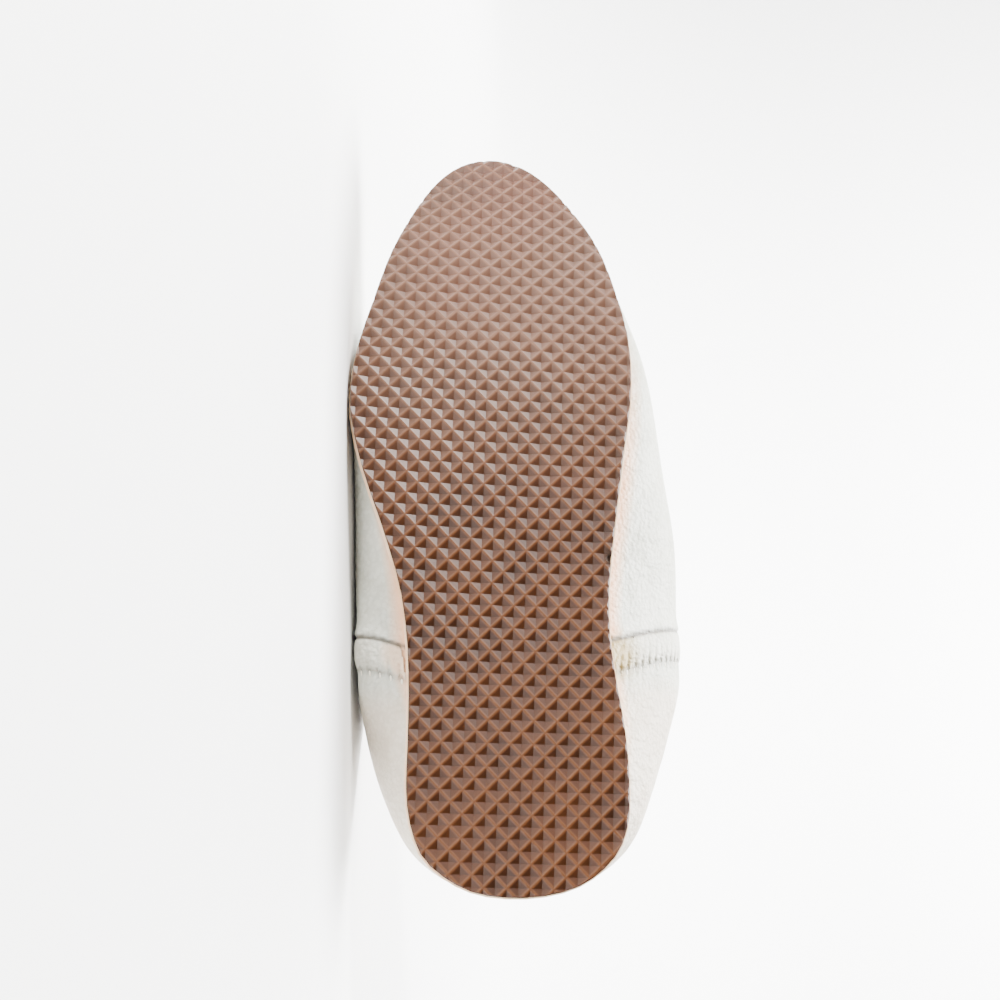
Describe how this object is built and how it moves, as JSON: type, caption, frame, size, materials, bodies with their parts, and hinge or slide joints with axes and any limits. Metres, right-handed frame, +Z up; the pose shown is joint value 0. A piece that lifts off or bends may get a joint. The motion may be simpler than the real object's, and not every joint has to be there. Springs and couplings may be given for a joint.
{
  "type": "babouche slipper",
  "caption": "Left leather babouche slipper with a rounded pointed toe, a trodden-down folded back, lapped side seams and a thin rubber sole, lying on its inner side.",
  "frame": {"origin": "middle of the bounding box on the floor the slipper lies on, on its inner side", "axes": "+Y from heel to toe, +Z up toward the outer side of the foot, -X out of the tread"},
  "size_m": [0.0662, 0.2514, 0.1097],
  "materials": {
    "sole_rubber": "matt brown moulded rubber",
    "natural_leather": "undyed cut edge",
    "lining_leather": "smooth natural lining",
    "upper_leather": "pebbled off-white, satin",
    "seam_leather": "pebbled off-white, satin"
  },
  "bodies": {
    "root": {"outsole": "sole_rubber", "midsole": "natural_leather", "insole": "lining_leather", "upper": "upper_leather", "side_seam_inner": "seam_leather", "side_seam_outer": "seam_leather"}
  },
  "joints": []
}
